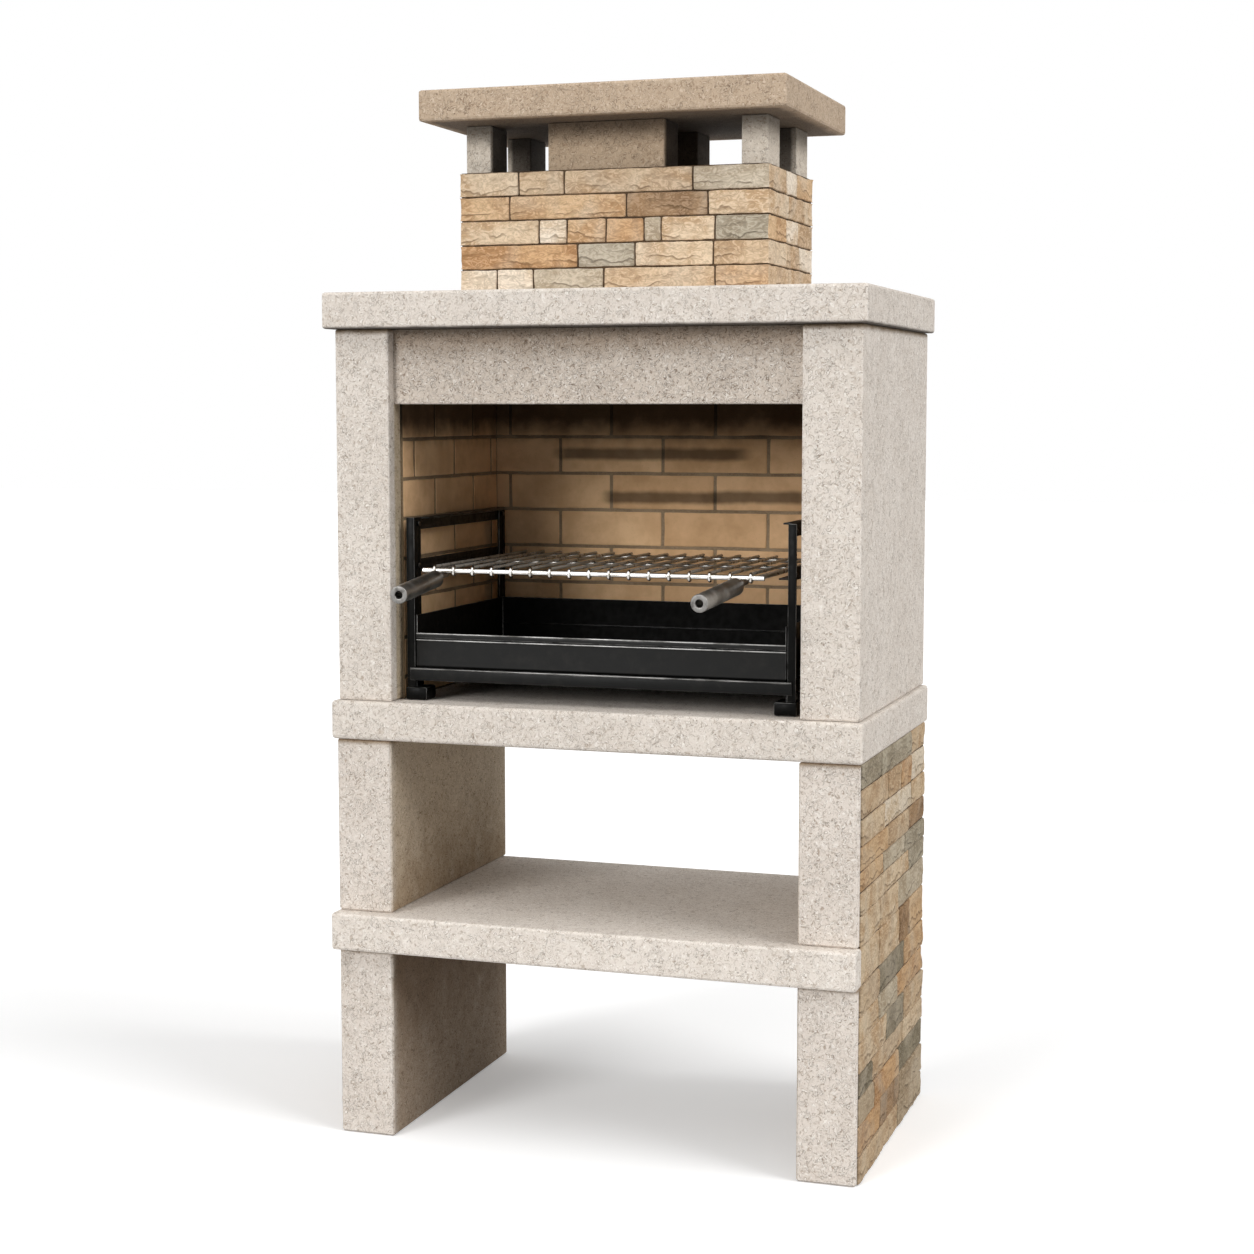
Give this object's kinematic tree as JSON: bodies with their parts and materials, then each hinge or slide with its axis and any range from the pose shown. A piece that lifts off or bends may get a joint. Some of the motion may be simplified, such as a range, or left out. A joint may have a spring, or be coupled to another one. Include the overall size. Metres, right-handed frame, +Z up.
{
  "type": "outdoor masonry barbecue",
  "caption": "Free-standing precast barbecue with stone-faced legs, shelf, brick-lined firebox, chimney under a raised cap, and a steel frame with sliding tray and grate.",
  "frame": {"origin": "on the floor, at the middle of the bounding box, which reaches from the ends of the grate's handles to the back wall", "axes": "+Z up, +X to the right of someone who cooks at it, +Y from the open front to the back wall"},
  "size_m": [1.048, 0.8214, 2],
  "materials": {
    "concrete": "cast, pale cream with shell flecks and small pits, matt",
    "cap_concrete": "cast, tan, rough, matt",
    "split_stone": "split face, beige, tan, ochre and grey, matt",
    "fire_brick": "brown brick slips with grey joints, lightly sooted",
    "black_steel": "satin black",
    "tray_steel": "satin black sheet with bright worn edges",
    "bolt_steel": "dull zinc",
    "bright_steel": "bright drawn wire",
    "handle_steel": "turned, satin"
  },
  "bodies": {
    "masonry": {"lower_leg_left": "concrete", "lower_leg_right": "concrete", "upper_leg_left": "concrete", "upper_leg_right": "concrete", "side_facing_left": "split_stone", "side_facing_right": "split_stone", "shelf_slab": "concrete", "worktop_slab": "concrete", "firebox_wall_left": "concrete", "firebox_wall_right": "concrete", "firebox_back": "concrete", "lintel": "concrete", "brick_lining_left": "fire_brick", "brick_lining_right": "fire_brick", "brick_lining_back": "fire_brick", "mantel_slab": "concrete", "chimney_block": "split_stone", "cap_post_front_left": "concrete", "cap_post_front_right": "concrete", "cap_post_back_left": "concrete", "cap_post_back_right": "concrete", "cap_block_front": "concrete", "cap_block_back": "concrete", "cap_slab": "cap_concrete", "frame_post_front_left": "black_steel", "frame_post_front_right": "black_steel", "frame_post_back_left": "black_steel", "frame_post_back_right": "black_steel", "foot_front_left": "black_steel", "foot_front_right": "black_steel", "foot_back_left": "black_steel", "foot_back_right": "black_steel", "low_rail_front": "black_steel", "low_rail_back": "black_steel", "tray_runner_left": "black_steel", "tray_runner_right": "black_steel", "grate_rail_left": "black_steel", "grate_rail_right": "black_steel", "top_rail_left": "black_steel", "top_rail_right": "black_steel", "grate_rail_bolt_front_left": "bolt_steel", "grate_rail_bolt_front_right": "bolt_steel", "grate_rail_bolt_back_left": "bolt_steel", "grate_rail_bolt_back_right": "bolt_steel", "top_rail_bolt_front_left": "bolt_steel", "top_rail_bolt_front_right": "bolt_steel", "top_rail_bolt_back_left": "bolt_steel", "top_rail_bolt_back_right": "bolt_steel"},
    "grate": {"cooking_grate": "bright_steel", "handle_left": "handle_steel", "handle_right": "handle_steel"},
    "tray": {"charcoal_tray": "tray_steel"}
  },
  "joints": [
    {"name": "grate_slide", "type": "slide", "parent": "masonry", "child": "grate", "axis": [0, -1, 0], "range_m": [-0.045, 0.3]},
    {"name": "tray_slide", "type": "slide", "parent": "masonry", "child": "tray", "axis": [0, -1, 0], "range_m": [-0.04, 0.33]}
  ]
}
